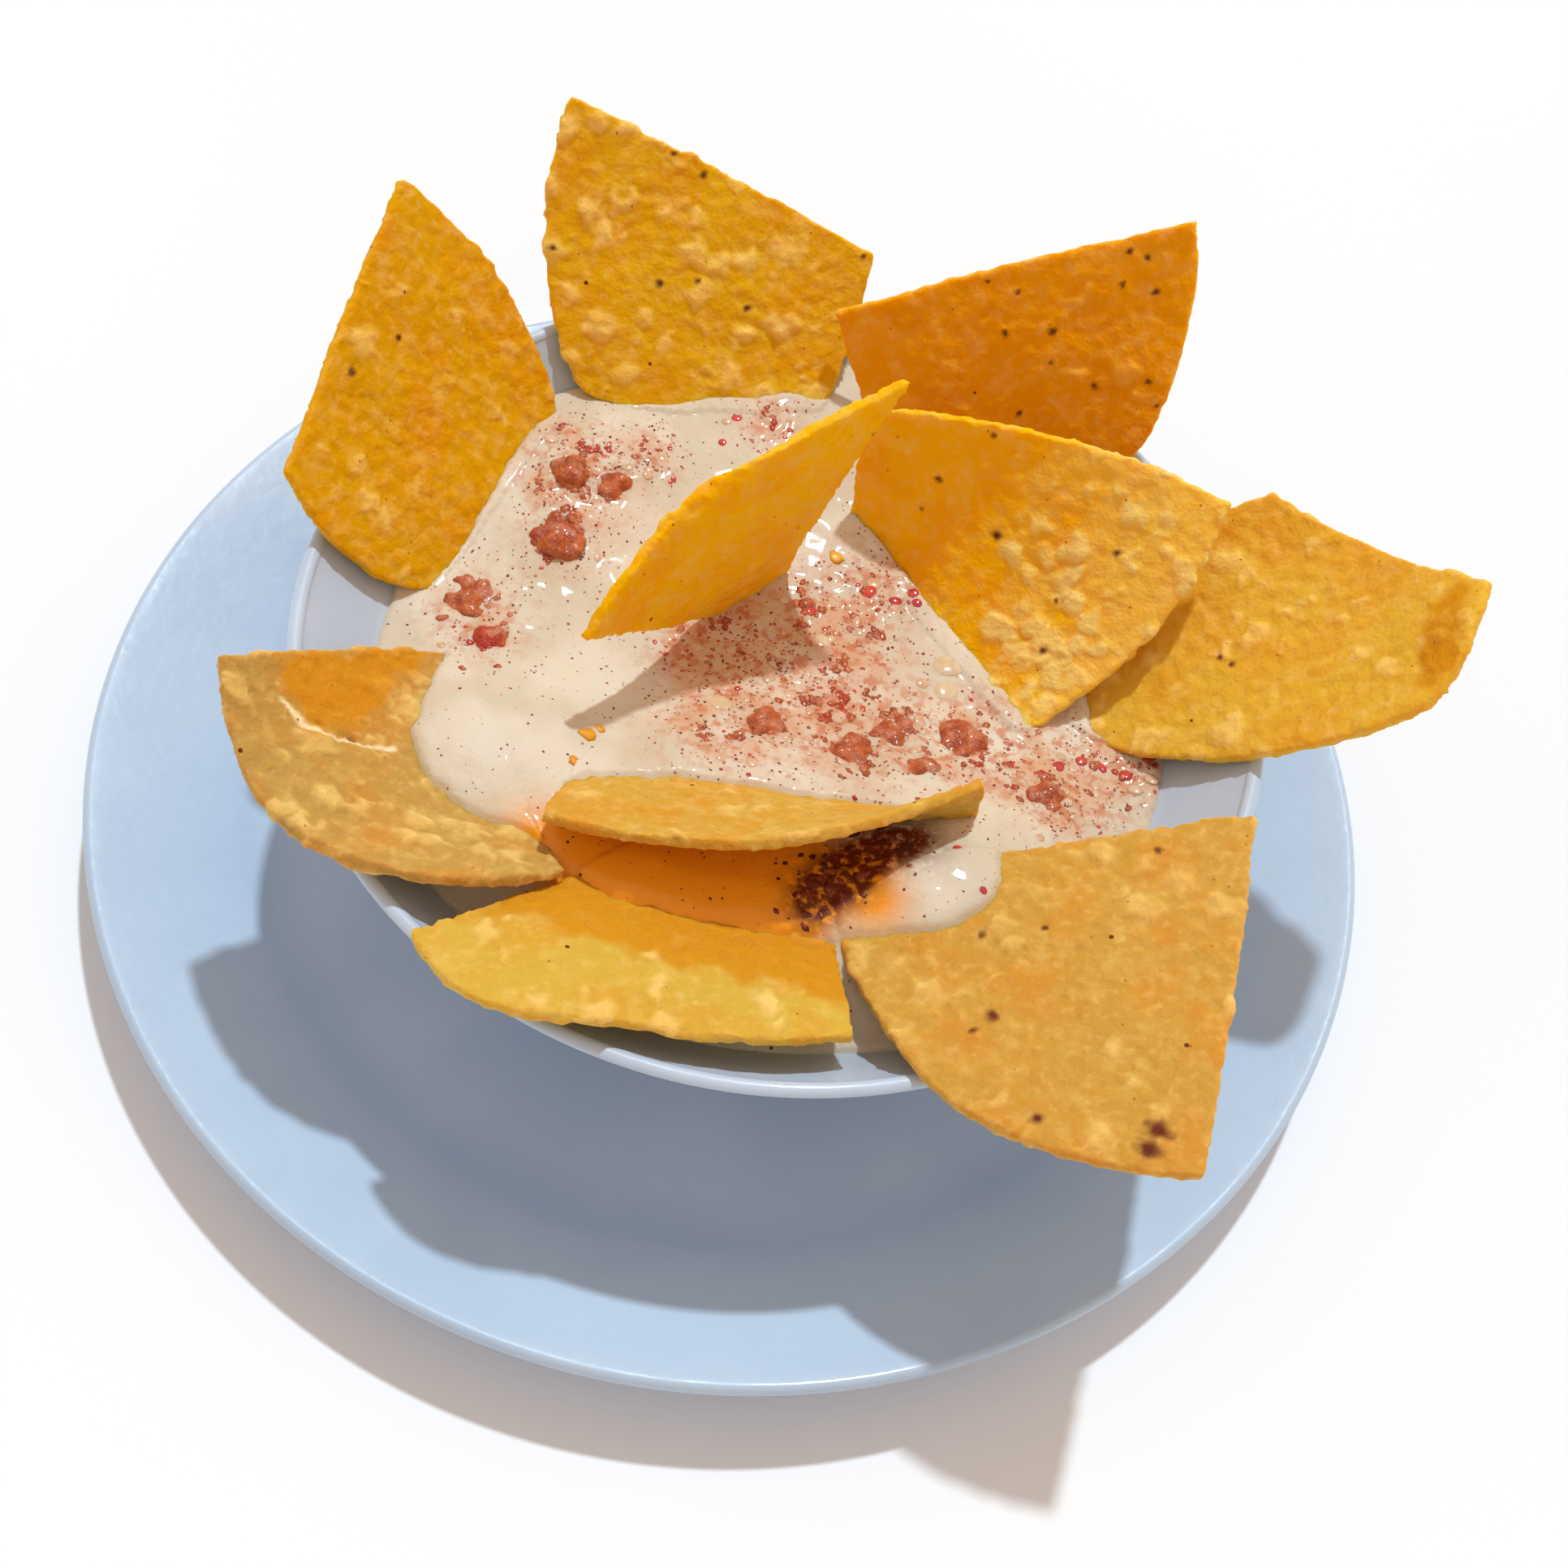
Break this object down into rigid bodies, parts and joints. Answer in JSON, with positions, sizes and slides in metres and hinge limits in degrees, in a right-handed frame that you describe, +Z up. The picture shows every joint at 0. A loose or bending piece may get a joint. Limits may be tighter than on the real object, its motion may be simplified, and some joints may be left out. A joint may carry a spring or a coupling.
{
  "type": "plate of chorizo dip",
  "caption": "White plate carrying a flared bowl filled with creamy chorizo cheese dip, with fried corn tortilla chips planted in the dip and leaning on the rim.",
  "frame": {"origin": "middle of the plate's flat underside", "axes": "+Z up, -Y towards the eater, +X to the eater's right"},
  "size_m": [0.24, 0.24, 0.0986],
  "materials": {
    "plate_glaze": "glossy white ceramic glaze with a faint blue cast",
    "bowl_glaze": "glossy white ceramic glaze",
    "cheese_dip": "wet, creamy and slightly translucent, with red-brown specks",
    "fried_tortilla": "dry, blistered, golden yellow with small brown specks",
    "chorizo": "oily red-brown minced sausage"
  },
  "bodies": {
    "root": {"plate": "plate_glaze", "bowl": "bowl_glaze", "dip": "cheese_dip", "chip_back_left": "fried_tortilla", "chip_back": "fried_tortilla", "chip_back_right": "fried_tortilla", "chip_leaning": "fried_tortilla", "chip_middle": "fried_tortilla", "chip_right": "fried_tortilla", "chip_front_right": "fried_tortilla", "chip_front": "fried_tortilla", "chip_front_left": "fried_tortilla", "chip_left": "fried_tortilla", "chorizo_1": "chorizo", "chorizo_2": "chorizo", "chorizo_3": "chorizo", "chorizo_4": "chorizo", "chorizo_5": "chorizo", "chorizo_6": "chorizo", "chorizo_7": "chorizo", "chorizo_8": "chorizo", "chorizo_9": "chorizo", "chorizo_10": "chorizo", "chorizo_11": "chorizo"}
  },
  "joints": []
}
